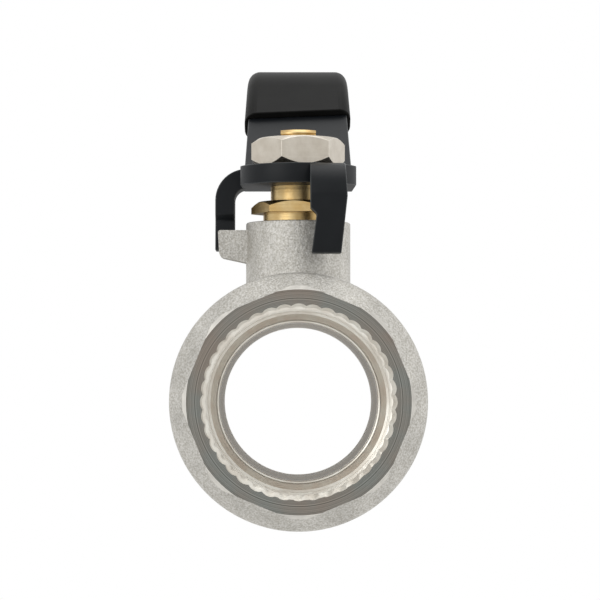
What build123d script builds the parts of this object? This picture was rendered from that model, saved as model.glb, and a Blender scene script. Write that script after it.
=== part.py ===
"""Two-piece full-bore ball valve for a bulk container, with a lever and two threaded ports.

Frame: the origin is the centre of the tank port's face, +Y runs along the bore towards
the outlet, and +Z points up the stem. Millimetres.
"""

import os
from math import cos, radians, sin, sqrt, tan

from build123d import *

# Ports and waterway
waterway_diameter = 50.0
port_shoulder = 3.33
port_thread_depth = 22.0
port_land = 6.5
mouth_chamfer = 1.0
mouth_scallops = 40
mouth_scallop_reach = 1.75
mouth_scallop_radius = 3.6
thread_lead_chamfer = 0.8

# Outside of the forging and of the end connection
octagon_wall = 5.42
octagon_corner_turning = 1.85
octagon_face_chamfer = 0.7
octagon_chamfer_angle = 60.0
octagon_length = 19.0
shoulder_length = 9.0
barrel_wall = 2.8
barrel_edge_radius = 1.6
shoulder_radius = 4.0
collar_inset = 1.2
collar_length = 4.5
collar_shoulder_length = 6.0
edge_break = 0.5

# Ball and seats
ball_wall = 11.0
ball_gap = 0.3
cavity_gap = 0.6
seat_width = 6.5
seat_lip = 2.68
seat_depth = 8.5
slot_width = 8.4
slot_floor = 3.0
tongue_side_gap = 0.2
tongue_end_gap = 0.3

# Joint between the body and the end connection
body_seal_width = 1.6
body_seal_thickness = 1.5
join_length = 10.0
thread_gap = 0.05

# Stem, its sealing and its gland
stem_diameter = 18.0
stem_running_gap = 0.06
stem_ball_gap = 0.8
flange_lip = 2.9
flange_thickness = 4.6
flange_gap = 0.3
washer_gap = 0.05
thrust_washer_thickness = 1.5
stem_land = 4.1
o_ring_section = 1.6
o_ring_groove_width = 1.9
o_ring_flat_turn = 22.5
packing_width = 2.5
packing_flat = 1.2
packing_ridge = 0.8
packing_middle_thickness = 1.6
packing_upper_thickness = 2.3
gland_ring_thickness = 1.25
gland_engagement = 5.1
gland_hex_gap = 3.0
gland_hex_wall = 2.0
gland_hex_height = 3.8
gland_hex_turn = -6.7
stem_thread_depth = 0.9
stem_flats = 11.5
stem_end_length = 2.4
stem_end_chamfer = 0.8

# Neck and stop lug
neck_wall = 5.6
neck_foot_radius = 1.2
neck_edge_radius = 0.6
lug_thickness = 8.0
lug_drop = 2.5
lug_height = 8.8
lug_slope = 1.9
lug_edge_radius = 0.8
lug_corner_radius = 2.0

# Lever
lever_thickness = 6.4
lever_clearance = 5.1
lever_hole_gap = 0.15
plate_half_width = 18.9
plate_nose_radius = 20.0
arm_length = 170.0
arm_end_half_width = 14.0
arm_end_corner_radius = 8.0
arm_bend_start = 22.0
arm_rise = 40.7
arm_angle = 35.0
lower_bend_radius = 14.0
upper_bend_radius = 35.0
tab_clearance = 3.9
tab_bend_radius = 4.0
tab_width = 11.5
tab_taper = 2.1
tab_hip = 0.6
tab_hip_drop = 11.4
tab_waist = 1.6
tab_shoulder = 0.4
tab_waist_drop = 15.1
tab_waist_length = 2.0
tab_waist_radius = 1.0
tab_slant = 0.8
tab_root = 10.0
stop_gap = 0.15
side_tab_overlap = 6.1
front_tab_overlap = 8.8
lug_tab_overlap = 5.3

# Lever nut
lever_nut_wall = 4.5
lever_nut_height = 9.4
lever_nut_turn = 9.6
lever_nut_bore_gap = 0.06
nut_chamfer_angle = 35.0
nut_under_chamfer_angle = 45.0
nut_chamfer_inset = 0.4

# Grip sleeve
sleeve_wall = 1.4
sleeve_face_wall = 2.4
sleeve_corner_radius = 4.2
sleeve_start = 40.5
sleeve_skew = 5.0

# Radii worked out from the walls
waterway_radius = waterway_diameter / 2
port_radius = waterway_radius + port_shoulder
octagon_across_flats = 2 * (port_radius + octagon_wall)
octagon_turned_radius = octagon_across_flats / 2 + octagon_corner_turning
octagon_face_radius = octagon_turned_radius - octagon_face_chamfer * tan(radians(octagon_chamfer_angle))
ball_radius = waterway_radius + ball_wall
seat_sphere_radius = ball_radius + ball_gap
seat_outer_radius = waterway_radius + seat_width
cavity_radius = ball_radius + cavity_gap
join_radius = cavity_radius + body_seal_width
barrel_radius = join_radius + barrel_wall
stem_radius = stem_diameter / 2
stem_bore_radius = stem_radius + stem_running_gap
stem_core_radius = stem_radius - stem_thread_depth
flange_radius = stem_radius + flange_lip
flange_bore_radius = flange_radius + flange_gap
packing_radius = stem_radius + packing_width
neck_radius = packing_radius + neck_wall
gland_across_flats = 2 * (packing_radius + gland_hex_wall)
lever_nut_across_flats = 2 * (stem_radius + lever_nut_wall)

# Places along the bore
seat_back = sqrt(seat_sphere_radius**2 - waterway_radius**2) + seat_lip
seat_front = seat_back - seat_depth
stem_y = port_thread_depth + port_land + seat_back
valve_length = 2 * stem_y
body_end = stem_y + seat_front + join_length
outlet_thread_start = valve_length - port_thread_depth

# Heights up the stem
slot_bottom = waterway_radius + slot_floor
flange_bottom = ball_radius + stem_ball_gap
flange_top = flange_bottom + flange_thickness
washer_bottom = flange_top + washer_gap
washer_top = washer_bottom + thrust_washer_thickness
packing_bottom = washer_top + stem_land
packing_set_height = packing_flat + packing_middle_thickness + packing_upper_thickness
gland_ring_bottom = packing_bottom + packing_set_height
gland_bottom = gland_ring_bottom + gland_ring_thickness
neck_top = gland_bottom + gland_engagement
gland_hex_bottom = neck_top + gland_hex_gap
gland_hex_top = gland_hex_bottom + gland_hex_height
plate_bottom = gland_hex_top + lever_clearance
plate_middle = plate_bottom + lever_thickness / 2
plate_top = plate_bottom + lever_thickness
lever_nut_top = plate_top + lever_nut_height
stem_top = lever_nut_top + stem_end_length
arm_middle = plate_middle + arm_rise

# Stop lug and the tabs that meet it
tab_inner_radius = neck_radius + tab_clearance
tab_middle_radius = tab_inner_radius + lever_thickness / 2
lug_reach = tab_inner_radius + lug_tab_overlap
lug_top = neck_top - lug_drop
lug_bottom = lug_top - lug_height
stop_face = lug_thickness / 2 + stop_gap
side_tab_bottom = lug_top - side_tab_overlap
front_tab_bottom = lug_top - front_tab_overlap


def across_bore(y):
    """Plane square to the bore at y, facing the outlet, with its own y axis upwards."""
    return Plane(origin=(0, y, 0), x_dir=(-1, 0, 0), z_dir=(0, 1, 0))


def across_stem(z):
    """Plane square to the stem at height z, with its origin on the stem's axis."""
    return Plane(origin=(0, stem_y, z), x_dir=(1, 0, 0), z_dir=(0, 0, 1))


# Upright plane through the stem and along the bore: local x is +Y, local y is +Z
along_bore = Plane(origin=(0, stem_y, 0), x_dir=(0, 1, 0), z_dir=(1, 0, 0))
# Upright plane through the stem and across the bore: local x is +X, local y is +Z
beside_stem = Plane(origin=(0, stem_y, 0), x_dir=(1, 0, 0), z_dir=(0, -1, 0))
stem_axis = Axis((0, stem_y, 0), (0, 0, 1))


def octagon_blank(face_y, inner_y):
    """Radius profile that turns the corners of an octagonal end, chamfered at its face."""
    step = octagon_face_chamfer if inner_y > face_y else -octagon_face_chamfer
    return [
        (0, face_y),
        (octagon_face_radius, face_y),
        (octagon_turned_radius, face_y + step),
        (octagon_turned_radius, inner_y),
        (0, inner_y),
    ]


# Forged body
with BuildPart() as body:
    with BuildSketch(across_bore(0)):
        RegularPolygon(octagon_across_flats / 2, 8, major_radius=False)
    extrude(amount=octagon_length + shoulder_length)
    with BuildSketch(Plane.XY):
        Polygon(*octagon_blank(0, octagon_length + shoulder_length), align=None)
    revolve(axis=Axis.Y, mode=Mode.INTERSECT)

    with BuildSketch(Plane.XY) as barrel_profile:
        Polygon(
            (0, octagon_length),
            (octagon_across_flats / 2 - edge_break, octagon_length),
            (barrel_radius, octagon_length + shoulder_length),
            (barrel_radius, body_end),
            (0, body_end),
            align=None,
        )
        barrel_corners = barrel_profile.vertices().group_by(Axis.X)[-1].sort_by(Axis.Y)
        fillet(barrel_corners[0], shoulder_radius)
        fillet(barrel_corners[1], barrel_edge_radius)
    revolve(axis=Axis.Y)

    with BuildSketch(across_stem(0)):
        Circle(neck_radius)
    extrude(amount=neck_top)
    fillet(body.edges().filter_by(GeomType.BSPLINE), neck_foot_radius)
    fillet(body.faces().sort_by(Axis.Z)[-1].edges(), neck_edge_radius)

    with BuildSketch(beside_stem) as lug_outline:
        with BuildLine():
            Polyline(
                (0, lug_top),
                (-lug_reach, lug_top),
                (-lug_reach + edge_break, lug_bottom),
                (-neck_radius, lug_bottom - lug_slope),
                (0, lug_bottom - lug_slope),
                close=True,
            )
        make_face()
        fillet(lug_outline.vertices().group_by(Axis.X)[0], lug_edge_radius)
        fillet(lug_outline.vertices().group_by(Axis.Y)[1].group_by(Axis.X)[0], lug_corner_radius)
    extrude(amount=lug_thickness / 2, both=True)

    # Waterway, port thread bore, seat pocket, ball cavity and the joint's bore
    with BuildSketch(Plane.XY):
        Polygon(
            (0, 0),
            (port_radius + mouth_chamfer, 0),
            (port_radius, mouth_chamfer),
            (port_radius, port_thread_depth),
            (waterway_radius + thread_lead_chamfer, port_thread_depth),
            (waterway_radius, port_thread_depth + thread_lead_chamfer),
            (waterway_radius, stem_y - seat_back),
            (seat_outer_radius, stem_y - seat_back),
            (seat_outer_radius, stem_y - seat_front),
            (cavity_radius, stem_y - seat_front),
            (cavity_radius, stem_y + seat_front - body_seal_thickness),
            (join_radius, stem_y + seat_front - body_seal_thickness),
            (join_radius, body_end),
            (0, body_end),
            align=None,
        )
    revolve(axis=Axis.Y, mode=Mode.SUBTRACT)

    # Scalloped mouth: cone-ended notches side by side round the tank port's chamfer
    with Locations(across_bore(0).location):
        with PolarLocations(port_radius + mouth_scallop_reach - mouth_scallop_radius, mouth_scallops):
            Cone(
                mouth_scallop_radius,
                0,
                mouth_scallop_radius,
                align=(Align.CENTER, Align.CENTER, Align.MIN),
                mode=Mode.SUBTRACT,
            )

    # Stem chamber from below, running bore, and the packing chamber from above
    with BuildSketch(across_stem(0)):
        Circle(flange_bore_radius)
    extrude(amount=washer_top, mode=Mode.SUBTRACT)
    with BuildSketch(across_stem(0)):
        Circle(stem_bore_radius)
    extrude(amount=neck_top, mode=Mode.SUBTRACT)
    with BuildSketch(across_stem(packing_bottom)):
        Circle(packing_radius)
    extrude(amount=neck_top - packing_bottom, mode=Mode.SUBTRACT)

# End connection, screwed into the body from the outlet side
with BuildPart() as end_connection:
    with BuildSketch(across_bore(body_end + collar_length)):
        RegularPolygon(octagon_across_flats / 2, 8, major_radius=False)
    extrude(amount=valve_length - body_end - collar_length)
    with BuildSketch(Plane.XY):
        Polygon(*octagon_blank(valve_length, body_end), align=None)
    revolve(axis=Axis.Y, mode=Mode.INTERSECT)

    with BuildSketch(Plane.XY) as collar_profile:
        Polygon(
            (0, body_end),
            (barrel_radius - collar_inset, body_end),
            (barrel_radius - collar_inset, body_end + collar_length),
            (octagon_across_flats / 2 - edge_break, body_end + collar_length + collar_shoulder_length),
            (0, body_end + collar_length + collar_shoulder_length),
            align=None,
        )
        fillet(collar_profile.vertices().group_by(Axis.X)[-1], edge_break)
    revolve(axis=Axis.Y)
    with BuildSketch(Plane.XY):
        Polygon(
            (0, stem_y + seat_front),
            (join_radius - thread_gap - edge_break, stem_y + seat_front),
            (join_radius - thread_gap, stem_y + seat_front + edge_break),
            (join_radius - thread_gap, body_end),
            (0, body_end),
            align=None,
        )
    revolve(axis=Axis.Y)

    with BuildSketch(Plane.XY):
        Polygon(
            (0, stem_y + seat_front),
            (seat_outer_radius, stem_y + seat_front),
            (seat_outer_radius, stem_y + seat_back),
            (waterway_radius, stem_y + seat_back),
            (waterway_radius, outlet_thread_start - thread_lead_chamfer),
            (waterway_radius + thread_lead_chamfer, outlet_thread_start),
            (port_radius, outlet_thread_start),
            (port_radius, valve_length - mouth_chamfer),
            (port_radius + mouth_chamfer, valve_length),
            (0, valve_length),
            align=None,
        )
    revolve(axis=Axis.Y, mode=Mode.SUBTRACT)

# Seal between the body's shoulder and the end connection
with BuildPart() as body_seal:
    with BuildSketch(across_bore(stem_y + seat_front - body_seal_thickness)):
        Circle(join_radius - thread_gap)
        Circle(cavity_radius, mode=Mode.SUBTRACT)
    extrude(amount=body_seal_thickness)

# Ball, drilled along the bore and slotted across its top
with BuildPart() as ball:
    with Locations((0, stem_y, 0)):
        Sphere(ball_radius)
    with BuildSketch(across_bore(stem_y)):
        Circle(waterway_radius)
    extrude(amount=ball_radius, both=True, mode=Mode.SUBTRACT)
    chamfer(ball.edges().filter_by(GeomType.CIRCLE), edge_break)
    with BuildSketch(across_stem(slot_bottom)):
        Rectangle(2 * ball_radius, slot_width)
    extrude(amount=ball_radius, mode=Mode.SUBTRACT)


def seat_ring(side):
    """PTFE seat ring on one side of the ball: -1 towards the tank, +1 towards the outlet."""
    with BuildPart() as ring:
        with BuildSketch(across_bore(stem_y + side * seat_back)):
            Circle(seat_outer_radius - thread_gap)
            Circle(waterway_radius, mode=Mode.SUBTRACT)
        extrude(amount=-side * seat_depth)
        with Locations((0, stem_y, 0)):
            Sphere(seat_sphere_radius, mode=Mode.SUBTRACT)
    return ring


seat_tank_side = seat_ring(-1)
seat_outlet_side = seat_ring(1)

# Stem, put in from the cavity so that pressure can't blow it out
with BuildPart() as stem:
    with BuildSketch(across_stem(flange_bottom)):
        Circle(flange_radius)
    extrude(amount=flange_thickness)
    with BuildSketch(across_stem(slot_bottom + tongue_end_gap)) as tongue:
        Circle(flange_radius)
        Rectangle(2 * flange_radius, slot_width - 2 * tongue_side_gap, mode=Mode.INTERSECT)
    extrude(amount=flange_bottom - slot_bottom - tongue_end_gap)
    with BuildSketch(across_stem(flange_top)):
        Circle(stem_radius)
    extrude(amount=plate_bottom - flange_top)
    with BuildSketch(across_stem(plate_bottom)):
        Circle(stem_core_radius)
    extrude(amount=stem_top - plate_bottom)
    chamfer(stem.faces().sort_by(Axis.Z)[-1].edges(), stem_end_chamfer)
    with BuildSketch(across_stem(plate_bottom)):
        Circle(stem_radius)
        Rectangle(stem_flats, stem_diameter, mode=Mode.SUBTRACT)
    extrude(amount=stem_top - plate_bottom, mode=Mode.SUBTRACT)
    with BuildSketch(across_stem(washer_top + (stem_land - o_ring_groove_width) / 2)):
        Circle(stem_radius)
        Circle(stem_radius - o_ring_section, mode=Mode.SUBTRACT)
    extrude(amount=o_ring_groove_width, mode=Mode.SUBTRACT)

# O-ring, squeezed to flats against its groove and the bore
with BuildPart() as stem_o_ring:
    with BuildSketch(along_bore):
        with Locations((stem_radius - o_ring_section / 2, washer_top + stem_land / 2)):
            RegularPolygon(o_ring_section / 2, 8, major_radius=False, rotation=o_ring_flat_turn)
    revolve(axis=stem_axis)

with BuildPart() as stem_thrust_washer:
    with BuildSketch(across_stem(washer_bottom)):
        Circle(flange_radius)
        Circle(stem_radius + flange_gap, mode=Mode.SUBTRACT)
    extrude(amount=thrust_washer_thickness)


def chevron_ring(bottom, height, ridge_below, ridge_above):
    """Packing ring whose under and upper sides rise to a ridge half way across its width."""
    middle = (stem_bore_radius + packing_radius) / 2
    with BuildPart() as ring:
        with BuildSketch(along_bore):
            Polygon(
                (stem_bore_radius, bottom),
                (middle, bottom + ridge_below),
                (packing_radius, bottom),
                (packing_radius, bottom + height),
                (middle, bottom + height + ridge_above),
                (stem_bore_radius, bottom + height),
                align=None,
            )
        revolve(axis=stem_axis)
    return ring


packing_ring_lower = chevron_ring(packing_bottom, packing_flat, 0, packing_ridge)
packing_ring_middle = chevron_ring(
    packing_bottom + packing_flat, packing_middle_thickness, packing_ridge, packing_ridge
)
packing_ring_upper = chevron_ring(
    packing_bottom + packing_flat + packing_middle_thickness, packing_upper_thickness, packing_ridge, 0
)

with BuildPart() as gland_ring:
    with BuildSketch(across_stem(gland_ring_bottom)):
        Circle(packing_radius - thread_gap)
        Circle(stem_radius + flange_gap, mode=Mode.SUBTRACT)
    extrude(amount=gland_ring_thickness)


def chamfered_hexagon(bottom, height, across_flats, turn, under_chamfered):
    """Hexagon bar cut to height with its corners chamfered on top, and below if asked."""
    corner = across_flats / sqrt(3)
    inset = across_flats / 2 - nut_chamfer_inset
    drop = (corner - inset) * tan(radians(nut_chamfer_angle))
    rise = (corner - inset) * tan(radians(nut_under_chamfer_angle))
    lower = [(inset, bottom), (corner, bottom + rise)] if under_chamfered else [(corner, bottom)]
    with BuildPart() as bar:
        with BuildSketch(across_stem(bottom)):
            RegularPolygon(across_flats / 2, 6, major_radius=False, rotation=turn)
        extrude(amount=height)
        with BuildSketch(along_bore):
            Polygon(
                (0, bottom),
                *lower,
                (corner, bottom + height - drop),
                (inset, bottom + height),
                (0, bottom + height),
                align=None,
            )
        revolve(axis=stem_axis, mode=Mode.INTERSECT)
    return bar


gland_hexagon = chamfered_hexagon(
    gland_hex_bottom, gland_hex_height, gland_across_flats, gland_hex_turn, False
)
with BuildPart() as gland_nut:
    add(gland_hexagon.part)
    with BuildSketch(across_stem(gland_bottom)):
        Circle(packing_radius - thread_gap)
    extrude(amount=gland_hex_bottom - gland_bottom)
    with BuildSketch(across_stem(gland_bottom)):
        Circle(stem_radius + flange_gap)
    extrude(amount=gland_hex_top - gland_bottom, mode=Mode.SUBTRACT)

lever_nut_hexagon = chamfered_hexagon(
    plate_top, lever_nut_height, lever_nut_across_flats, lever_nut_turn, True
)
with BuildPart() as lever_nut:
    add(lever_nut_hexagon.part)
    with BuildSketch(across_stem(plate_top)):
        Circle(stem_core_radius + lever_nut_bore_gap)
    extrude(amount=lever_nut_height, mode=Mode.SUBTRACT)
    chamfer(lever_nut.edges().filter_by(GeomType.CIRCLE).group_by(SortBy.RADIUS)[0], edge_break)

# Lever: side run of the bent plate, then its outline seen from above, then the two stop tabs
slope_run = arm_rise / tan(radians(arm_angle))
outline_bottom = plate_bottom - sleeve_face_wall
outline_height = arm_rise + 2 * (lever_thickness + sleeve_face_wall)
bend_path = [
    (-plate_nose_radius - tab_root, plate_middle),
    (arm_bend_start, plate_middle),
    (arm_bend_start + slope_run, arm_middle),
]


def bent_strip(thickness, extra_length):
    """Plate bent along the lever's side run, much wider than the lever, as a solid."""
    with BuildPart() as strip:
        with BuildSketch(along_bore):
            with BuildLine():
                FilletPolyline(
                    *bend_path,
                    (arm_length + extra_length, arm_middle),
                    radius=[lower_bend_radius, upper_bend_radius],
                )
            trace(line_width=thickness)
        extrude(amount=2 * plate_half_width, both=True)
    return strip


def lever_outline(margin):
    """The lever seen from above: rounded nose at the stem, and sides that taper to the end."""
    shoulder = -sqrt(plate_nose_radius**2 - plate_half_width**2)
    with BuildSketch(across_stem(outline_bottom)) as outline:
        with BuildLine():
            ThreePointArc(
                (-plate_half_width, shoulder), (0, -plate_nose_radius), (plate_half_width, shoulder)
            )
            Polyline(
                (plate_half_width, shoulder),
                (arm_end_half_width, arm_length),
                (-arm_end_half_width, arm_length),
                (-plate_half_width, shoulder),
            )
        make_face()
        fillet(outline.vertices().group_by(Axis.Y)[-1], arm_end_corner_radius)
        if margin:
            offset(amount=margin)
    return outline


def stop_tab(run_plane, face_plane, bottom):
    """Tab bent down from the plate: its run lies on one plane and its outline on the other.

    The outline has a hip on its free edge, and a waist on its stop edge under the bend.
    """
    with BuildPart() as tab:
        with BuildSketch(run_plane):
            with BuildLine():
                FilletPolyline(
                    (-tab_root, plate_middle),
                    (-tab_middle_radius, plate_middle),
                    (-tab_middle_radius, bottom),
                    radius=tab_bend_radius + lever_thickness / 2,
                )
            trace(line_width=lever_thickness)
        extrude(amount=2 * (stop_face + tab_width), both=True)
        with BuildSketch(face_plane) as face:
            Polygon(
                (stop_face - tab_shoulder, plate_top),
                (stop_face - tab_shoulder, plate_top - tab_waist_drop),
                (stop_face + tab_waist, plate_top - tab_waist_drop - tab_waist_length),
                (stop_face, bottom),
                (stop_face + tab_width - tab_taper, bottom - tab_slant),
                (stop_face + tab_width, plate_top - tab_hip_drop),
                (stop_face + tab_width - tab_hip, plate_top),
                align=None,
            )
            fillet(face.vertices().sort_by(Axis.Y)[2:5], tab_waist_radius)
        extrude(amount=2 * tab_middle_radius, both=True, mode=Mode.INTERSECT)
    return tab


side_tab = stop_tab(beside_stem, along_bore, side_tab_bottom)
front_tab = stop_tab(along_bore, beside_stem, front_tab_bottom)

lever_strip = bent_strip(lever_thickness, 0)
with BuildPart() as lever:
    add(lever_strip.part)
    add(lever_outline(0).sketch)
    extrude(amount=outline_height, mode=Mode.INTERSECT)
    add(side_tab.part)
    add(front_tab.part)
    with BuildSketch(across_stem(plate_bottom)):
        Circle(stem_core_radius + lever_hole_gap)
        Rectangle(stem_flats + 2 * lever_hole_gap, stem_diameter, mode=Mode.INTERSECT)
    extrude(amount=lever_thickness, mode=Mode.SUBTRACT)

# Grip sleeve: a closed-end cover pushed over the arm
slope = (cos(radians(arm_angle)), sin(radians(arm_angle)))
mouth_centre = (
    0,
    stem_y + arm_bend_start + sleeve_start * slope[0],
    plate_middle + sleeve_start * slope[1],
)
skew = (cos(radians(sleeve_skew)), sin(radians(sleeve_skew)))
mouth_plane = Plane(
    origin=mouth_centre,
    x_dir=(skew[0], skew[1] * slope[0], skew[1] * slope[1]),
    z_dir=(-skew[1], skew[0] * slope[0], skew[0] * slope[1]),
)
sleeve_strip = bent_strip(lever_thickness + 2 * sleeve_face_wall, sleeve_wall)
with BuildPart() as grip_sleeve:
    add(sleeve_strip.part)
    add(lever_outline(sleeve_wall).sketch)
    extrude(amount=outline_height, mode=Mode.INTERSECT)
    split(bisect_by=mouth_plane, keep=Keep.TOP)
    rims = grip_sleeve.faces().filter_by(Axis.X, reverse=True).sort_by(Axis.Y)[0].edges()
    long_edges = grip_sleeve.edges().filter_by(Axis.Z, reverse=True)
    fillet([e for e in long_edges if e not in rims], sleeve_corner_radius)
    add(lever.part, mode=Mode.SUBTRACT)

# Labels and files
pieces = {
    "body": body,
    "end_connection": end_connection,
    "body_seal": body_seal,
    "ball": ball,
    "seat_front": seat_tank_side,
    "seat_rear": seat_outlet_side,
    "stem": stem,
    "stem_thrust_washer": stem_thrust_washer,
    "stem_o_ring": stem_o_ring,
    "packing_ring_lower": packing_ring_lower,
    "packing_ring_middle": packing_ring_middle,
    "packing_ring_upper": packing_ring_upper,
    "gland_ring": gland_ring,
    "gland_nut": gland_nut,
    "lever": lever,
    "grip_sleeve": grip_sleeve,
    "lever_nut": lever_nut,
}
os.makedirs("parts", exist_ok=True)
for name, piece in pieces.items():
    piece.part.label = name
    export_step(piece.part, f"parts/{name}.step")
print(f"valve length {valve_length:.2f}, stem at y {stem_y:.2f}, stem top {stem_top:.2f}")
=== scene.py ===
# %% [markdown]
# # A ball valve for a bulk container
#
# This lesson dresses a two-piece ball valve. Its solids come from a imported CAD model, and
# this file gives every visible surface its real finish: shot-blasted and turned nickel
# plate, bare brass, black coating and soft PVC. The pieces could be drawn again by eye.
# They start from the solids here, so each one sits where the valve needs it and moves with
# the right body.

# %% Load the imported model
import math

import bmesh
import bpy
from mathutils import Matrix, Vector


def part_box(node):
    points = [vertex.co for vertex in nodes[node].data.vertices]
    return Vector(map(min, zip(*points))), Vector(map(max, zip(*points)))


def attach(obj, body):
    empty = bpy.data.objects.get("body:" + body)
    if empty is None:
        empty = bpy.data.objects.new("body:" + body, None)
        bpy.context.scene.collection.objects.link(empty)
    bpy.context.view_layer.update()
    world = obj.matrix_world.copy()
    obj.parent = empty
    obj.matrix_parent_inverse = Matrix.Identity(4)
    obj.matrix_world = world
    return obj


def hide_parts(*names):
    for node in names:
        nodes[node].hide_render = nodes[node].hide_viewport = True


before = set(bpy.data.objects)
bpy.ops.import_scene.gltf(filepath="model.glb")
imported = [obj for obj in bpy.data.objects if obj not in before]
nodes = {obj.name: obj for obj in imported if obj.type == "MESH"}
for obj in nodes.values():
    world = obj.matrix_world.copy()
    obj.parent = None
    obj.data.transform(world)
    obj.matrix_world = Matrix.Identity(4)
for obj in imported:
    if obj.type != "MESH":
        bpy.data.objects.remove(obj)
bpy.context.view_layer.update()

# %% [markdown]
# ## Sizes
#
# Blender counts in metres and a valve maker in millimetres, so `mm` turns one into the
# other. Where a CAD node's box gives a size, it is read from there, so that the dressing
# follows the solids. The few that no box gives, such as a thread's pitch, are the real ones.

# %% Millimetres, and the stem's axis
def mm(size):
    """Metres from millimetres."""
    return size / 1000


stem_low, stem_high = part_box("stem")
STEM_Y = (stem_low.y + stem_high.y) / 2
print("stem axis at y", round(STEM_Y, 4))

# %% [markdown]
# ## Camera
#
# The photograph looks straight into the tank port from about three quarters of a metre,
# with a long lens. The rings of the bore at two depths gave that distance, because a near
# lens shrinks the deep one more. The camera could be turned by angles, but aiming it at the
# picture's middle needs no trial. It looks very slightly upwards: the lens stands level
# with the bore, and the picture's middle lies above it.

# %% Camera
FACE_DISTANCE = mm(750)
EYE = Vector((mm(-2.7), -FACE_DISTANCE, mm(3.1)))
# One picture point is 0.3046 mm wide at the port's face
POINT_ANGLE = mm(0.3046) / FACE_DISTANCE
# The picture point straight ahead of the lens, across and down, and the picture's middle
LENS_AXIS = (290, 392)
PICTURE_MIDDLE = 300
SENSOR_WIDTH = 36

camera_data = bpy.data.cameras.new("camera")
camera = bpy.data.objects.new("camera", camera_data)
bpy.context.scene.collection.objects.link(camera)
camera_data.sensor_width = SENSOR_WIDTH
camera_data.lens = SENSOR_WIDTH / (2 * PICTURE_MIDDLE * POINT_ANGLE)
camera_data.clip_start = 0.05
camera_data.clip_end = 20
across = (PICTURE_MIDDLE - LENS_AXIS[0]) * POINT_ANGLE
upwards = (LENS_AXIS[1] - PICTURE_MIDDLE) * POINT_ANGLE
camera.location = EYE
camera.rotation_mode = "QUATERNION"
camera.rotation_quaternion = Vector((across, 1, upwards)).to_track_quat("-Z", "Y")
bpy.context.scene.camera = camera
print("lens in mm:", round(camera_data.lens, 1))

# %% [markdown]
# ## Nodes and colours
#
# Materials are made of shader nodes. They could be laid out by hand in the editor, but a
# script keeps every setting in sight. One small function adds a node with its settings and
# links, and one turns a hex colour, as a paint chart gives it, into Blender's linear values.

# %% Two helpers for materials
def add_node(tree, kind, settings=None, links=None):
    """Adds a node. Settings that are sockets go by name or number, links likewise."""
    node = tree.nodes.new(kind)
    for key, value in (settings or {}).items():
        if isinstance(key, str) and hasattr(node, key):
            setattr(node, key, value)
        else:
            node.inputs[key].default_value = value
    for key, source in (links or {}).items():
        tree.links.new(source, node.inputs[key])
    return node


def colour(code):
    """Linear RGBA of an sRGB hex code such as 'b4b4b0'."""
    channels = [int(code[i : i + 2], 16) / 255 for i in (0, 2, 4)]
    return [c / 12.92 if c <= 0.04045 else ((c + 0.055) / 1.055) ** 2.4 for c in channels] + [1]


print("mid grey in linear light:", [round(c, 3) for c in colour("808080")])

# %% [markdown]
# ## White world
#
# The photograph is a cut-out on pure white. More light would whiten the background, but it
# would bleach the metal as well. So the world is white only for the rays that see it, from
# the camera, off metal or through glass, and it is dimmer as a light. Light Path tells
# these rays apart.

# %% White world
WHITE = (1, 1, 1, 1)
WORLD_LIGHT = 0.7


def seeing_rays(tree):
    """1 for rays from the camera, off metal or through glass, and 0 for the rest."""
    path = add_node(tree, "ShaderNodeLightPath")
    camera_or_metal = add_node(
        tree,
        "ShaderNodeMath",
        {"operation": "MAXIMUM"},
        {0: path.outputs["Is Camera Ray"], 1: path.outputs["Is Glossy Ray"]},
    )
    return add_node(
        tree,
        "ShaderNodeMath",
        {"operation": "MAXIMUM"},
        {0: camera_or_metal.outputs[0], 1: path.outputs["Is Transmission Ray"]},
    ).outputs[0]


world = bpy.data.worlds.new("white studio")
bpy.context.scene.world = world
world.use_nodes = True
tree = world.node_tree
tree.nodes.clear()
dim = add_node(tree, "ShaderNodeBackground", {"Color": WHITE, "Strength": WORLD_LIGHT})
white = add_node(tree, "ShaderNodeBackground", {"Color": WHITE, "Strength": 1})
mixed = add_node(
    tree,
    "ShaderNodeMixShader",
    None,
    {0: seeing_rays(tree), 1: dim.outputs[0], 2: white.outputs[0]},
)
add_node(tree, "ShaderNodeOutputWorld", None, {0: mixed.outputs[0]})
bpy.context.scene.view_settings.view_transform = "Standard"
print("world made, as a light", WORLD_LIGHT)

# %% [markdown]
# ## Soft lamps
#
# A studio lights metal through large white cloths, which makes broad, soft highlights.
# Square area lamps do that here: a large one overhead, one at the left of the lens and a
# weak one at the right that opens the shadows. Small lamps would leave hard glints on the
# blasted metal.

# %% Soft lamps
def soft_lamp(name, place, aim, size, power):
    """Square area lamp at place, turned towards aim, size metres wide."""
    lamp = bpy.data.lights.new(name, "AREA")
    lamp.shape = "SQUARE"
    lamp.size = size
    lamp.energy = power
    made = bpy.data.objects.new(name, lamp)
    bpy.context.scene.collection.objects.link(made)
    made.location = place
    made.rotation_mode = "QUATERNION"
    made.rotation_quaternion = (Vector(aim) - Vector(place)).to_track_quat("-Z", "Y")


UNDER_THE_LEVER = (0, STEM_Y, 0.03)
soft_lamp("top lamp", (0.1, 0.1, 1.1), UNDER_THE_LEVER, size=0.9, power=3)
soft_lamp("left lamp", (-0.75, -0.75, 0.35), UNDER_THE_LEVER, size=0.6, power=2.2)
soft_lamp("right lamp", (1.1, 0.3, 0.3), UNDER_THE_LEVER, size=0.6, power=1)

# %% [markdown]
# ## Floor
#
# The valve hangs by its port, so the floor lies well below it and gets only a soft shadow.
# A floor of plain white paint turns grey where little light falls. This one also glows
# faintly for the rays that see it, which lifts it to the background's white and keeps the
# shadow.

# %% Floor
FLOOR_DROP = mm(120)
FLOOR_PAINT = (0.7, 0.7, 0.7, 1)
FLOOR_GLOW = 0.42
FLOOR_RADIUS = 0.45


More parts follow.
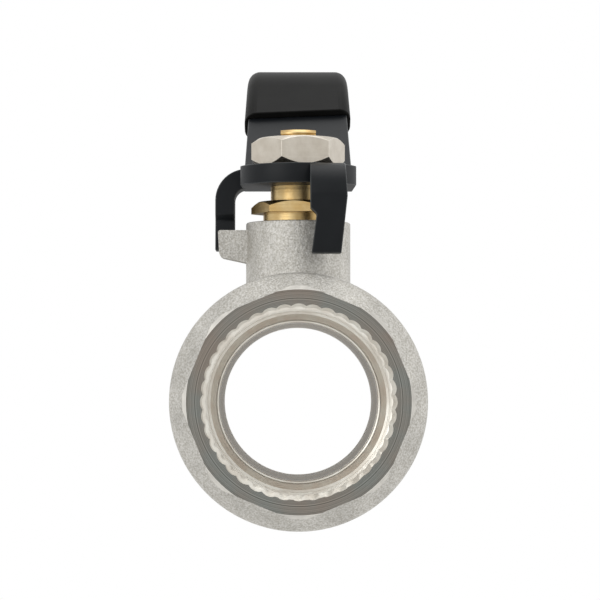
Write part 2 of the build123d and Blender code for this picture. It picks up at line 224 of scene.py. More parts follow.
def flat_stage(name, radius, turn, place, material):
    """Round flat stage piece: a disc turned and put in place in its mesh."""
    bm = bmesh.new()
    bmesh.ops.create_circle(bm, cap_ends=True, segments=96, radius=radius)
    bmesh.ops.rotate(bm, verts=bm.verts, matrix=turn)
    bmesh.ops.translate(bm, verts=bm.verts, vec=place)
    mesh = bpy.data.meshes.new(name)
    bm.to_mesh(mesh)
    bm.free()
    mesh.materials.append(material)
    made = bpy.data.objects.new(name, mesh)
    bpy.context.scene.collection.objects.link(made)
    return made


floor_paint = bpy.data.materials.new("pale painted floor")
floor_paint.use_nodes = True
tree = floor_paint.node_tree
tree.nodes.clear()
lit = add_node(tree, "ShaderNodeBsdfDiffuse", {"Color": FLOOR_PAINT})
glow = add_node(tree, "ShaderNodeEmission", {"Color": WHITE, "Strength": FLOOR_GLOW})
both = add_node(tree, "ShaderNodeAddShader", None, {0: lit.outputs[0], 1: glow.outputs[0]})
mixed = add_node(
    tree,
    "ShaderNodeMixShader",
    None,
    {0: seeing_rays(tree), 1: lit.outputs[0], 2: both.outputs[0]},
)
add_node(tree, "ShaderNodeOutputMaterial", None, {0: mixed.outputs[0]})
FLOOR_MIDDLE = (0, STEM_Y, -FLOOR_DROP)
flat_stage("floor", FLOOR_RADIUS, Matrix.Identity(3), FLOOR_MIDDLE, floor_paint)
print("floor at z", -FLOOR_DROP)

# %% [markdown]
# ## Cards that only reflections see
#
# Metal that faces the lens mirrors the dark room behind the photographer, and in a white
# world it would be white. A dark card round the camera takes that room's place. The
# waterway's wall mirrors what lies behind the valve, so a grey card stands there too.
# Darker metal would look the same from the front, and wrong from every other side.

# %% Cards
def card_paint(name, strength):
    """Card that shows one plain grey, whatever light falls on it."""
    made = bpy.data.materials.new(name)
    made.use_nodes = True
    tree = made.node_tree
    tree.nodes.clear()
    glow = add_node(tree, "ShaderNodeEmission", {"Color": WHITE, "Strength": strength})
    add_node(tree, "ShaderNodeOutputMaterial", None, {0: glow.outputs[0]})
    return made


def reflected_card(name, radius, place, strength):
    """Round card square to the bore that only reflections see."""
    upright = Matrix.Rotation(math.radians(90), 3, "X")
    made = flat_stage(name, radius, upright, place, card_paint(name, strength))
    made.visible_camera = False
    made.visible_diffuse = False
    made.visible_shadow = False
    print(name, "at y", place[1])


reflected_card("card_round_the_camera", radius=0.17, place=(0, -0.85, -0.03), strength=0.15)
reflected_card("card_behind_the_valve", radius=0.25, place=(0, 0.65, 0), strength=0.3)

# %% [markdown]
# ## Patches and grain
#
# No real surface has one even colour or is quite smooth. Plate and paint drift in patches,
# and grit, cutters and moulds leave a fine relief. Images could show both, but noise needs
# no file and has no seams. It reads Object coordinates: every piece sits at the origin, so
# these are places on the valve, and a pattern stays put when its piece turns.

# %% Patches and grain
def object_place(tree):
    """Socket with the place on the valve."""
    return add_node(tree, "ShaderNodeTexCoord").outputs["Object"]


def cloudy(tree, place, size, first, second, low, high):
    """Drifts from one hex colour to another, in patches about size metres wide.

    The first is pure where the noise is under low, and the second where it is over high.
    """
    settings = {"Scale": 1 / size, "Detail": 3, "Roughness": 0.6}
    noise = add_node(tree, "ShaderNodeTexNoise", settings, {"Vector": place})
    ramp = add_node(tree, "ShaderNodeValToRGB", None, {0: noise.outputs[0]})
    start, end = ramp.color_ramp.elements
    start.position, end.position = low, high
    start.color, end.color = colour(first), colour(second)
    return ramp.outputs[0]


def grainy(tree, place, size, depth, strength, detail=2, under=None):
    """Bump of noise with lumps about size metres wide, over another bump if one is given."""
    settings = {"Scale": 1 / size, "Detail": detail, "Roughness": 0.55}
    noise = add_node(tree, "ShaderNodeTexNoise", settings, {"Vector": place})
    links = {"Height": noise.outputs[0]}
    if under:
        links["Normal"] = under
    bump = add_node(tree, "ShaderNodeBump", {"Strength": strength, "Distance": depth}, links)
    return bump.outputs[0]


print("patches and grain ready")

# %% [markdown]
# ## A bare material and a product of colours
#
# Every finish starts from one principled shader, which knows how metal, paint and plastic
# reflect. Tints that lie over each other, such as pits on cloudy plate, are multiplied, as
# real layers that each swallow some light.

# %% A bare material and a product of colours
def new_material(name, metallic, roughness):
    """Returns a material with one principled shader, its tree and the shader."""
    made = bpy.data.materials.new(name)
    made.use_nodes = True
    shader = made.node_tree.nodes["Principled BSDF"]
    shader.inputs["Metallic"].default_value = metallic
    shader.inputs["Roughness"].default_value = roughness
    return made, made.node_tree, shader


def colour_socket(sockets, name):
    """A Mix node's socket for colours, as it has others of the same name for numbers."""
    return next(s for s in sockets if s.name == name and s.type == "RGBA")


def multiplied(tree, factor, first, second):
    """Product of two colours, mixed in by a factor."""
    mix = add_node(tree, "ShaderNodeMix", {"data_type": "RGBA", "blend_type": "MULTIPLY"})
    mix.inputs[0].default_value = factor
    tree.links.new(first, colour_socket(mix.inputs, "A"))
    tree.links.new(second, colour_socket(mix.inputs, "B"))
    return colour_socket(mix.outputs, "Result")


print("material helpers ready")

# %% [markdown]
# ## Shot-blasted nickel plate
#
# The forging is blasted with grit and then plated. The craters could be real dents in the
# mesh, but there are far too many, so a bump shades them. They are about 0.3 mm wide, as is
# one picture point. To show at all, the fine grain is drawn at 0.5 and 0.6 mm, and one of
# 1.3 mm makes it uneven. Patches of 9 mm give the cloudy look that plate has.

# %% Shot-blasted nickel plate
def make_blasted_nickel():
    """Matt, light grey and grainy: the craters throw the light every way."""
    made, tree, shader = new_material("nickel plate, shot blasted", metallic=1, roughness=0.55)
    place = object_place(tree)
    patches = cloudy(tree, place, mm(9), "c2c0bb", "d2d0cb", low=0.35, high=0.7)
    pits = cloudy(tree, place, mm(0.6), "d8d6d1", "ffffff", low=0.38, high=0.6)
    tree.links.new(multiplied(tree, 1, patches, pits), shader.inputs["Base Color"])
    fine = grainy(tree, place, mm(0.5), depth=mm(0.16), strength=1, detail=3)
    coarse = grainy(tree, place, mm(1.3), depth=mm(0.26), strength=1, under=fine)
    tree.links.new(coarse, shader.inputs["Normal"])
    return made


blasted_nickel = make_blasted_nickel()
print(blasted_nickel.name)

# %% [markdown]
# ## Turned nickel plate
#
# The end faces, the mouth, the thread and the waterway are cut on a lathe before plating,
# which leaves fine rings round the bore. Anisotropic shading could stretch the highlights
# without showing a ring. So noise that knows only the distance from the bore's axis sets
# both colour and relief. A real cutter moves about 0.1 mm a turn, and the rings here are
# 0.35 mm apart, because finer ones wouldn't show. The waterway is painted darker with
# depth, as painted shade deep in the bore.

# %% Rings and depth
RING_PITCH = mm(0.35)


def rings_round(tree, place, pitch):
    """Noise that depends only on the distance from the bore's axis."""
    parts = add_node(tree, "ShaderNodeSeparateXYZ", None, {0: place})
    flat = add_node(
        tree, "ShaderNodeCombineXYZ", None, {0: parts.outputs[0], 1: parts.outputs[2]}
    )
    length = add_node(
        tree, "ShaderNodeVectorMath", {"operation": "LENGTH"}, {0: flat.outputs[0]}
    )
    settings = {"noise_dimensions": "1D", "Scale": 1 / pitch, "Detail": 4, "Roughness": 0.7}
    rings = add_node(tree, "ShaderNodeTexNoise", settings, {"W": length.outputs["Value"]})
    return rings.outputs[0]


def painted_shade_with_depth(tree, place, start, tint):
    """Painted shade: white as far into the bore as start, and the tint in its middle."""
    parts = add_node(tree, "ShaderNodeSeparateXYZ", None, {0: place})
    from_middle = add_node(
        tree, "ShaderNodeMath", {"operation": "SUBTRACT", 1: STEM_Y}, {0: parts.outputs[1]}
    )
    either_way = add_node(
        tree, "ShaderNodeMath", {"operation": "ABSOLUTE"}, {0: from_middle.outputs[0]}
    )
    depth = add_node(
        tree,
        "ShaderNodeMapRange",
        {"From Min": STEM_Y - start, "From Max": 0},
        {"Value": either_way.outputs[0]},
    )
    ramp = add_node(tree, "ShaderNodeValToRGB", None, {0: depth.outputs[0]})
    mouth, middle = ramp.color_ramp.elements
    mouth.color, middle.color = WHITE, colour(tint)
    return ramp.outputs[0]


print("rings every mm:", round(1000 * RING_PITCH, 2))

# %% [markdown]
# ## Four kinds of turned plate
#
# The end face is painted darker, as a painted reflection of the dark room before it, drifts
# from brown to grey-green and shows its rings most. The mouth and the thread are bright, the
# waterway is warmer, and the corners of the octagon, which are turned after the blasting, are
# pale. One maker with a few settings keeps them one metal.

# %% Four kinds of turned plate
def make_turned_nickel(name, roughness, first, second, patch, ring_share):
    """Satin sheen drawn out by fine rings, over tints in patches."""
    made, tree, shader = new_material(name, 1, roughness)
    place = object_place(tree)
    tint = cloudy(tree, place, patch, first, second, low=0.4, high=0.6)
    rings = rings_round(tree, place, RING_PITCH)
    ramp = add_node(tree, "ShaderNodeValToRGB", None, {0: rings})
    groove, crest = ramp.color_ramp.elements
    groove.position, crest.position = 0.35, 0.6
    ringed = multiplied(tree, ring_share, tint, ramp.outputs[0])
    # Painted shade: the plate darkens deep in the bore
    depth = painted_shade_with_depth(tree, place, start=mm(24), tint="a5a092")
    tree.links.new(multiplied(tree, 1, ringed, depth), shader.inputs["Base Color"])
    relief = {"Strength": 0.4, "Distance": mm(0.03)}
    bump = add_node(tree, "ShaderNodeBump", relief, {"Height": rings})
    tree.links.new(bump.outputs[0], shader.inputs["Normal"])
    return made


# The end face's darker colour is a painted reflection of the dark room before it
faced_nickel_painted_dark = make_turned_nickel(
    "nickel plate, faced, painted dark", 0.36, "a89e93", "9fa19b", patch=mm(26), ring_share=0.6
)
cut_nickel = make_turned_nickel(
    "nickel plate, cut bright", 0.42, "d5cfc4", "e6e3da", patch=mm(9), ring_share=0.08
)
bore_nickel = make_turned_nickel(
    "nickel plate, waterway", 0.45, "dbcfc0", "e2dbce", patch=mm(6), ring_share=0.15
)
corner_nickel = make_turned_nickel(
    "nickel plate, turned on the corners", 0.5, "c1beb8", "cfccc5", patch=mm(7), ring_share=0.1
)
print(faced_nickel_painted_dark.name, "|", cut_nickel.name, "|", bore_nickel.name, "|", corner_nickel.name)

# %% [markdown]
# ## Brass, satin nickel and chrome
#
# The stem and the gland nut are bare turned brass. The lever nut is nickel plated and
# tumbled, and brighter on its edges, which are rubbed and carry a painted highlight. The ball
# has polished hard chrome. The cutter's lines run round the stem and could be rings of
# geometry, but noise that knows only the height draws them at no cost. They are 0.6 to 0.7 mm
# apart, coarser than real ones, because finer lines wouldn't show.

# %% Brass, satin nickel and chrome
def tool_lines(tree, place, pitch, depth):
    """Bump of fine lines round the stem, as a lathe or a milling cutter leaves."""
    parts = add_node(tree, "ShaderNodeSeparateXYZ", None, {0: place})
    settings = {"noise_dimensions": "1D", "Scale": 1 / pitch, "Detail": 3, "Roughness": 0.6}
    lines = add_node(tree, "ShaderNodeTexNoise", settings, {"W": parts.outputs[2]})
    relief = {"Strength": 0.6, "Distance": depth}
    return add_node(tree, "ShaderNodeBump", relief, {"Height": lines.outputs[0]}).outputs[0]


def make_brass():
    """Warm and softly shining, with fine lines across its highlights."""
    made, tree, shader = new_material("brass, turned", metallic=1, roughness=0.34)
    place = object_place(tree)
    tint = cloudy(tree, place, mm(5), "c4a56e", "d3bc8c", low=0.35, high=0.7)
    tree.links.new(tint, shader.inputs["Base Color"])
    lines = tool_lines(tree, place, pitch=mm(0.7), depth=mm(0.12))
    tree.links.new(lines, shader.inputs["Normal"])
    return made


def make_satin_nickel(name, roughness, first, second):
    """Silky and a little warm, because tumbling takes the cutter's shine away."""
    made, tree, shader = new_material(name, 1, roughness)
    place = object_place(tree)
    tint = cloudy(tree, place, mm(4), first, second, low=0.35, high=0.7)
    tree.links.new(tint, shader.inputs["Base Color"])
    lines = tool_lines(tree, place, pitch=mm(0.6), depth=mm(0.06))
    tree.links.new(lines, shader.inputs["Normal"])
    return made


def make_chrome():
    """Smooth and mirror-like, and darker deep in the ball, where little light gets in."""
    made, tree, shader = new_material("hard chrome, polished", metallic=1, roughness=0.22)
    place = object_place(tree)
    tint = cloudy(tree, place, mm(12), "cdc3b1", "d8cfbf", low=0.4, high=0.6)
    depth = painted_shade_with_depth(tree, place, start=mm(34), tint="ece2cc")
    tree.links.new(multiplied(tree, 1, tint, depth), shader.inputs["Base Color"])
    return made


brass = make_brass()
satin_nickel = make_satin_nickel("nickel plate, satin", 0.36, "bdb5a8", "cbc4b8")
# Its edges: partly rubbed, partly a painted highlight
rubbed_and_highlit_nickel = make_satin_nickel(
    "nickel plate, rubbed and painted bright on its edges", 0.28, "dcd6ca", "e8e4da"
)
chrome = make_chrome()
print(brass.name, "|", satin_nickel.name, "|", rubbed_and_highlit_nickel.name, "|", chrome.name)

# %% [markdown]
# ## Black coating and PVC
#
# The lever is steel plate with a bluish black epoxy coat, baked on. Its edges are paler,
# partly worn grey and partly a painted highlight. The sleeve is dip-moulded PVC, softer,
# warmer and more matt. Both could be one black, but side by side the eye tells them apart by
# how much they shine. Their skins have lumps of about 0.8 mm, the real size of a sprayed or
# dipped skin.

# %% Black coating and PVC
def make_black_coating(name, roughness, first, second):
    """Deep bluish black with a dull sheen and a faintly pebbled skin."""
    made, tree, shader = new_material(name, 0, roughness)
    place = object_place(tree)
    shader.inputs["Specular IOR Level"].default_value = 0.2
    tint = cloudy(tree, place, mm(8), first, second, low=0.3, high=0.7)
    tree.links.new(tint, shader.inputs["Base Color"])
    skin = grainy(tree, place, mm(0.8), depth=mm(0.04), strength=0.35)
    tree.links.new(skin, shader.inputs["Normal"])
    return made


def make_pvc():
    """Soft warm black that hardly shines."""
    made, tree, shader = new_material("black PVC, dip moulded", metallic=0, roughness=0.45)
    place = object_place(tree)
    shader.inputs["Specular IOR Level"].default_value = 0.08
    tint = cloudy(tree, place, mm(10), "0f0f0e", "151514", low=0.3, high=0.7)
    tree.links.new(tint, shader.inputs["Base Color"])
    skin = grainy(tree, place, mm(0.9), depth=mm(0.03), strength=0.3)
    tree.links.new(skin, shader.inputs["Normal"])
    return made


black_coating = make_black_coating("black epoxy coating, baked", 0.4, "0f1215", "15181b")
# Its edges: partly worn grey, partly a painted highlight
rubbed_and_highlit_coating = make_black_coating(
    "black epoxy coating, rubbed and painted pale on its edges", 0.32, "2c2f31", "484a4a"
)
pvc = make_pvc()
print(black_coating.name, "|", rubbed_and_highlit_coating.name, "|", pvc.name)

# %% [markdown]
# ## PTFE and rubber
#
# The seats, the packing and one washer are white PTFE, and the stem has a rubber ring. They
# hide inside, and only a seat's edge shows in the bore, so tints in patches are enough. PTFE
# also lets a little light in, or it would look like chalk.

# %% PTFE and rubber
def make_ptfe():
    """Waxy white: light goes about a millimetre in before it comes back."""
    made, tree, shader = new_material("PTFE, moulded", metallic=0, roughness=0.4)
    tint = cloudy(tree, object_place(tree), mm(6), "e4e3de", "edece8", low=0.3, high=0.7)
    tree.links.new(tint, shader.inputs["Base Color"])
    shader.inputs["Subsurface Weight"].default_value = 0.1
    shader.inputs["Subsurface Scale"].default_value = mm(1)
    return made


def make_rubber():
    """Dull dark grey without a highlight."""
    made, tree, shader = new_material("nitrile rubber, moulded", metallic=0, roughness=0.6)
    tint = cloudy(tree, object_place(tree), mm(3), "1c1c1c", "242424", low=0.3, high=0.7)
    tree.links.new(tint, shader.inputs["Base Color"])
    return made


ptfe = make_ptfe()
rubber = make_rubber()
print(ptfe.name, "|", rubber.name)

# %% [markdown]
# ## Copies of the solids
#
# A CAD node's mesh is loose triangles, and it stays as it is. A piece that needs more is a
# copy: its triangles are merged, and those of one flat side are dissolved into a whole
# face. The triangles could stay, but a bevel runs cleanly only between whole faces.

# %% Copy and merge
MERGE_DISTANCE = mm(0.0005)
FLAT_DEGREES = 1


def copy_of(node):
    """bmesh of a CAD node with its triangles merged and its flat sides made whole."""
    bm = bmesh.new()
    bm.from_mesh(nodes[node].data)
    bmesh.ops.remove_doubles(bm, verts=bm.verts, dist=MERGE_DISTANCE)
    bmesh.ops.dissolve_limit(
        bm,
        angle_limit=math.radians(FLAT_DEGREES),
        verts=bm.verts,
        edges=bm.edges,
        use_dissolve_boundaries=False,
    )
    return bm


print("copies merge corners within mm:", round(1000 * MERGE_DISTANCE, 4))

# %% [markdown]
# ## Rounded edges
#
# Deburring, blasting and plating leave a small radius on a real edge, and that radius
# catches the light. A Bevel modifier would round every edge by its angle alone. The
# operator takes a list of edges, so only sharp ones that stand outwards go in.

# %% Rounded edges
def everywhere(edge):
    """Wants every edge."""
    return True


def round_sharp_edges(bm, degrees, radius, wanted=everywhere, clamped=True):
    """Rounds the wanted outward edges that turn by more than this; returns the new faces."""
    sharp = [
        e
        for e in bm.edges
        if len(e.link_faces) == 2
        and e.is_convex
        and e.calc_face_angle() > math.radians(degrees)
        and wanted(e)
    ]
    rounded = bmesh.ops.bevel(
        bm,
        geom=sharp,
        affect="EDGES",
        offset=radius,
        segments=3,
        profile=0.5,
        material=-1,
        clamp_overlap=clamped,
    )
    return rounded["faces"]


print("edge helper ready")

# %% [markdown]
# ## From bmesh to a finished piece
#
# Curved surfaces are shaded smooth, and their sharp edges stay crisp. A flat side could be
# smooth too, but its shading would then lean towards the rounded edges, and it would look
# dented. So flat sides are found and shaded flat. The piece then stands for its node and
# rides on that node's body.

# %% From bmesh to a finished piece
LEAST_FLAT_AREA = mm(8) * mm(1)
CURVED_DEGREES = (0.5, 20)
FACET_SHARE = 0.2


def is_flat(face):
    """True for a flat side of some size, and not for one facet of a curved surface."""
    area = face.calc_area()
    for edge in face.edges:
        curved = CURVED_DEGREES[0] < math.degrees(edge.calc_face_angle(0)) < CURVED_DEGREES[1]
        if curved and all(f.calc_area() > FACET_SHARE * area for f in edge.link_faces):
            return False
    return area > LEAST_FLAT_AREA


def finish_piece(name, bm, body, materials, replaced, sharp_degrees=35):
    """Makes the object, shades it smooth but for sharp edges, and rides it on its body."""
    smooth = [not is_flat(face) for face in bm.faces]
    mesh = bpy.data.meshes.new(name)
    bm.to_mesh(mesh)
    bm.free()
    for material in materials:
        mesh.materials.append(material)
    # The solid brought its own normals, which don't fit the changed faces
    mesh.attributes.remove(mesh.attributes["custom_normal"])
    mesh.set_sharp_from_angle(angle=math.radians(sharp_degrees))
    # Set last, because the line above shades every face smooth
    mesh.polygons.foreach_set("use_smooth", smooth)
    piece = bpy.data.objects.new(name, mesh)
    bpy.context.scene.collection.objects.link(piece)
    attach(piece, body)
    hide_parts(*replaced)
    print(name, "has", len(mesh.polygons), "faces")


print("flat sides are over mm2:", round(1e6 * LEAST_FLAT_AREA))

# %% [markdown]
# ## Thread cutter
#
# A thread is a V-shaped groove that winds along a bore or a rod. A row of rings would look
# alike from afar, but its grooves would close on themselves. So a small profile is spun
# round the axis with a step forwards each time, which gives one helical ridge to cut with.
# It winds to the right, as nearly all threads do.

# %% Thread cutter
ALONG = Vector((0, 1, 0))
UP = Vector((0, 0, 1))
SIDEWAYS = Vector((1, 0, 0))
STEPS_PER_TURN = 56
# Half the ridge's width where it is widest and at its tip, in pitches
HALF_BASE = 0.44
HALF_TIP = 0.06


def thread_cutter(axis_point, axis, start, turns, pitch, base_radius, tip_radius):
    """Helical V ridge round an axis, widest at one radius and with its tip at the other."""
    bm = bmesh.new()
    across = SIDEWAYS if axis == UP else UP
    half_base, half_tip = HALF_BASE * pitch, HALF_TIP * pitch
    corners = [
        (base_radius, -half_base),
        (tip_radius, -half_tip),
        (tip_radius, half_tip),
        (base_radius, half_base),
    ]
    verts = [bm.verts.new(axis_point + across * r + axis * (start + a)) for r, a in corners]
    profile = bm.faces.new(verts)
    bmesh.ops.spin(
        bm,
        geom=[profile, *profile.edges, *profile.verts],
        cent=axis_point,
        axis=axis,
        dvec=axis * (pitch / STEPS_PER_TURN),
        angle=2 * math.pi * turns,
        steps=round(STEPS_PER_TURN * turns),
        use_merge=False,
        use_duplicate=False,
    )
    open_ends = [e for e in bm.edges if e.is_boundary]
    bmesh.ops.holes_fill(bm, edges=open_ends, sides=len(corners))
    bmesh.ops.recalc_face_normals(bm, faces=bm.faces)
    return bm


print("thread steps per turn:", STEPS_PER_TURN)

# %% [markdown]
# ## Carving
#
# The ridge is taken out of the metal by a Boolean, as a lathe takes out the chip. The exact
# solver is slower than the fast one, but it copes with a ridge that starts outside the
# metal and ends inside it. Its result is read back into a bmesh, so no modifier is left.

# %% Carving
def carve(bm, cutter):
    """Takes the cutter out of the metal; returns a new bmesh and frees the two."""
    objects = []
    for label, part in (("target", bm), ("cutter", cutter)):
        mesh = bpy.data.meshes.new(label)
        part.to_mesh(mesh)
        part.free()
        made = bpy.data.objects.new(label, mesh)
        bpy.context.scene.collection.objects.link(made)
        objects.append(made)
    target, tool = objects
    modifier = target.modifiers.new("carve", "BOOLEAN")
    modifier.operation = "DIFFERENCE"
    modifier.solver = "EXACT"
    modifier.object = tool
    result = bmesh.new()
    result.from_object(target, bpy.context.evaluated_depsgraph_get())
    # The solver can drop a face that isn't quite flat, so such a hole is closed again
    bmesh.ops.holes_fill(result, edges=[e for e in result.edges if e.is_boundary], sides=8)
    # An object goes with its mesh
    for made in objects:
        bpy.data.meshes.remove(made.data)
    return result


print("carving ready")

# %% [markdown]
# ## Which finish a forging has where
#
# One forging has five finishes, and each follows from how that place is made. They could be
# painted by hand or split into pieces. Here the finish comes from a face's depth under the
# nearer end and its distance from the bore's axis, because the lathe works by these two.

# %% Which finish a forging has where
VALVE_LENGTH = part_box("end_connection")[1].y
PORT_RADIUS = mm(28.33)
PORT_DEPTH = mm(22)
END_FACE_DEPTH = mm(0.02)
# The octagon's corners are turned to a shallow land between these two distances
LAND_DEPTH = mm(0.75)
LAND_START = mm(33)
LAND_END = mm(35.7)
# The mouth and the thread lie at most this far outside the port's wall
MOUTH_REACH = mm(2.4)
# The waterway lies at least this far inside it
WATERWAY_STEP = mm(0.9)
# The chamfer that leads from the port's bottom into the waterway, below that bottom
LEAD_CHAMFER = (mm(0.1), mm(0.7))

forging_finishes = [blasted_nickel, faced_nickel_painted_dark, cut_nickel, bore_nickel, corner_nickel]
BLASTED, FACED, CUT, WATERWAY, CORNER = range(len(forging_finishes))


def surface_of(face):
    """Number of a forging's finish at this face."""
    corners = [v.co for v in face.verts]
    distance = sum(math.hypot(c.x, c.z) for c in corners) / len(corners)
    depth = sum(min(c.y, VALVE_LENGTH - c.y) for c in corners) / len(corners)
    if depth < END_FACE_DEPTH:
        return FACED
    if depth < LAND_DEPTH and distance > LAND_START:
        return CORNER if distance < LAND_END else BLASTED
    if distance > PORT_RADIUS + MOUTH_REACH:
        return BLASTED
    in_waterway = distance < PORT_RADIUS - WATERWAY_STEP
    on_lead_chamfer = PORT_DEPTH + LEAD_CHAMFER[0] < depth < PORT_DEPTH + LEAD_CHAMFER[1]
    return WATERWAY if in_waterway and not on_lead_chamfer else CUT


print("valve length", round(VALVE_LENGTH, 4), "and finishes", len(forging_finishes))

# %% [markdown]
# ## Rings in the bore
#
# Two narrow bright rings show deep in the bore: the cone where the thread's tool ran out,
# and the burnished lip of the waterway. Painted rings would stay dull, because a ring is
# bright by its slope, which mirrors the studio. So each is a small profile spun round the
# bore, with its back sunk in the wall.

# %% Rings in the bore
BORE = Vector((0, 0, 0))
WATERWAY_RADIUS = mm(25)
RING_STEPS = 128
# Corners of each profile, as radius and height over the port's bottom
RUNOUT_CONE = [
    (PORT_RADIUS + mm(0.3), mm(0.62)),
    (PORT_RADIUS - mm(0.85), mm(-0.05)),
    (PORT_RADIUS + mm(0.3), mm(-0.05)),
]
WATERWAY_LIP = [
    (WATERWAY_RADIUS + mm(0.45), mm(-0.2)),
    (WATERWAY_RADIUS, mm(-0.42)),
    (WATERWAY_RADIUS, mm(-0.8)),
    (WATERWAY_RADIUS + mm(0.6), mm(-0.8)),
]


def turned_ring(bm, profile):
    """Adds a ring spun round the bore from corners, each a radius and a place along it."""
    corners = [bm.verts.new((radius, y, 0)) for radius, y in profile]
    sides = [bm.edges.new((corners[i - 1], corners[i])) for i in range(len(corners))]
    before = set(bm.faces)
    bmesh.ops.spin(
        bm,
        geom=[*corners, *sides],
        cent=BORE,
        axis=ALONG,
        angle=2 * math.pi,
        steps=RING_STEPS,
        use_merge=True,
    )
    bmesh.ops.recalc_face_normals(bm, faces=[f for f in bm.faces if f not in before])


print("corners of the rings:", len(RUNOUT_CONE), "and", len(WATERWAY_LIP))

# %% [markdown]
# ## Worn stop lug
#
# A small block on the neck stops the lever. It is the one place of the forging that
# blasting has worn visibly round, and the other edges stay as the die and the lathe left
# them. Its edges could be picked by number, but numbers change with every new solid, so
# they are picked by their place: beside the neck and above the barrel.

# %% Worn stop lug
NECK_RADIUS = mm(17)
BARREL_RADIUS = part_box("body")[1].x


def on_stop_lug(edge):
    """True for edges of the stop lug."""
    middle = (edge.verts[0].co + edge.verts[1].co) / 2
    return middle.x < -NECK_RADIUS and middle.z > BARREL_RADIUS


print("the lug lies above mm:", round(1000 * BARREL_RADIUS))

# %% [markdown]
# ## Forged body and screwed end
#
# Both ends of the valve have the same pipe thread, 59.6 mm outside with 11 turns to the
# inch. It could be in the CAD model, but its many faces would slow the physics, so the
# solids have plain bores at its inner diameter and the thread is carved here.

# %% Forged body and screwed end
STANDING = "valve_body"
THREAD_PITCH = mm(2.309)
THREAD_HEIGHT = mm(1.479)
THREAD_DEPTH = mm(20)
THREAD_TURNS = THREAD_DEPTH / THREAD_PITCH
# The cutter's base stays clear of the port's wall, and its ends reach out of the port
CUTTER_CLEARANCE = mm(0.4)
REACH_OUT = mm(1)
TURNS_OUT = 0.5
# Corners nearer than this are one corner, and edges shorter than this are none
CARVING_DUST = mm(0.002)


def forged_piece(name, node, thread_start, thread_turns, port_bottom, outwards):
    """Forging with a worn lug, a thread and rings; outwards is -1 or 1, as its port faces."""
    bm = copy_of(node)
    rounded = round_sharp_edges(bm, degrees=30, radius=mm(0.5), wanted=on_stop_lug)
    print(name, "faces on rounded edges:", len(rounded))
    cutter = thread_cutter(
        BORE,
        ALONG,
        thread_start,
        thread_turns,
        THREAD_PITCH,
        base_radius=PORT_RADIUS - CUTTER_CLEARANCE,
        tip_radius=PORT_RADIUS + THREAD_HEIGHT,
    )
    bm = carve(bm, cutter)
    bmesh.ops.remove_doubles(bm, verts=bm.verts, dist=CARVING_DUST)
    bmesh.ops.dissolve_degenerate(bm, edges=bm.edges, dist=CARVING_DUST)
    for profile in (RUNOUT_CONE, WATERWAY_LIP):
        turned_ring(bm, [(radius, port_bottom + outwards * height) for radius, height in profile])
    for face in bm.faces:
        face.material_index = surface_of(face)
    finish_piece(
        name, bm, STANDING, forging_finishes, [node], sharp_degrees=38
    )


forged_piece(
    "forged_body",
    "body",
    thread_start=-REACH_OUT,
    thread_turns=THREAD_TURNS,
    port_bottom=PORT_DEPTH,
    outwards=-1,
)
forged_piece(
    "screwed_end",
    "end_connection",
    thread_start=VALVE_LENGTH - THREAD_DEPTH,
    thread_turns=THREAD_TURNS + TURNS_OUT,
    port_bottom=VALVE_LENGTH - PORT_DEPTH,
    outwards=1,
)

# %% [markdown]
# ## Lever, nuts and sleeve
#
# These four have the right shape already. What the solids lack is their edges, which shine
# on a cut plate and a milled nut, where hands and spanners rub the finish. Shading could
# look for edges, but it would find seams too. So the new faces of a rounded edge get a
# finish of their own, which on the lever and its nut is rubbed and also paler as a painted
# highlight. The lever's tabs have some very short edges, and a clamped bevel would shrink
# every radius to fit them, so that one isn't clamped.

# %% Lever, nuts and sleeve
def dressed_copy(name, node, body, finishes, degrees, radius, clamped=True):
    """Copy in the first finish, with its sharp edges rounded and in the last one."""
    bm = copy_of(node)
    rounded = round_sharp_edges(bm, degrees, radius, clamped=clamped)
    # Rounded edges take the last finish: on the lever and its nut, rubbed and paler as a painted
    # highlight
    for face in rounded:
        face.material_index = len(finishes) - 1
    print(name, "faces on rounded edges:", len(rounded))
    finish_piece(name, bm, body, finishes, [node])


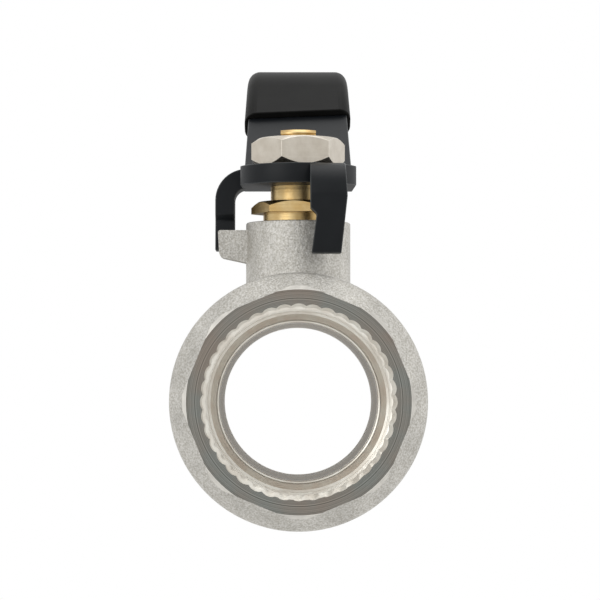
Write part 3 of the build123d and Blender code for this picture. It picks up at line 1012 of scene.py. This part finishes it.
TURNING = "lever_and_ball"
coatings = [black_coating, rubbed_and_highlit_coating]
platings = [satin_nickel, rubbed_and_highlit_nickel]
dressed_copy(
    "coated_lever",
    "lever",
    TURNING,
    coatings,
    degrees=40,
    radius=mm(0.3),
    clamped=False,
)
dressed_copy(
    "thin_lever_nut",
    "lever_nut",
    TURNING,
    platings,
    degrees=20,
    radius=mm(0.25),
)
dressed_copy(
    "brass_gland_nut",
    "gland_nut",
    STANDING,
    [brass],
    degrees=20,
    radius=mm(0.2),
)
dressed_copy(
    "pvc_sleeve",
    "grip_sleeve",
    TURNING,
    [pvc],
    degrees=50,
    radius=mm(0.5),
)

# %% [markdown]
# ## Stem with its threaded end
#
# The stem's end carries the lever nut, and its last turns of thread show above the nut. In
# the solid it is a plain rod with two flats, which hold the lever. A separate threaded rod
# would lose those flats, so the same cutter carves this thread too, with its base outside
# the rod and its tip inside.

# %% Stem with its threaded end
NUT_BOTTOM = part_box("lever_nut")[0].z
STEM_THREAD_PITCH = mm(1.5)
STEM_THREAD_RADIUS = mm(8.1)
STEM_THREAD_HEIGHT = mm(0.5)

stem_thread = thread_cutter(
    Vector((0, STEM_Y, 0)),
    UP,
    NUT_BOTTOM,
    math.ceil((stem_high.z - NUT_BOTTOM) / STEM_THREAD_PITCH),
    STEM_THREAD_PITCH,
    base_radius=STEM_THREAD_RADIUS + CUTTER_CLEARANCE,
    tip_radius=STEM_THREAD_RADIUS - STEM_THREAD_HEIGHT,
)
stem = carve(copy_of("stem"), stem_thread)
bmesh.ops.remove_doubles(stem, verts=stem.verts, dist=CARVING_DUST)
finish_piece("threaded_stem", stem, TURNING, [brass], ["stem"])

# %% [markdown]
# ## Pieces that keep their own mesh
#
# The ball, the seats and the rings hide inside the valve, and only the ball's bore and a
# seat's edge show. Their solids are good as they are. A dressed copy would add nothing that
# anyone sees, so a material alone is enough.

# %% Pieces that keep their own mesh
own_mesh_finishes = {
    "ball": chrome,
    "gland_ring": brass,
    "stem_o_ring": rubber,
    "body_seal": ptfe,
    "seat_front": ptfe,
    "seat_rear": ptfe,
    "stem_thrust_washer": ptfe,
    "packing_ring_lower": ptfe,
    "packing_ring_middle": ptfe,
    "packing_ring_upper": ptfe,
}
for node, material in own_mesh_finishes.items():
    nodes[node].data.materials.clear()
    nodes[node].data.materials.append(material)
print("nodes with their own mesh:", len(own_mesh_finishes))
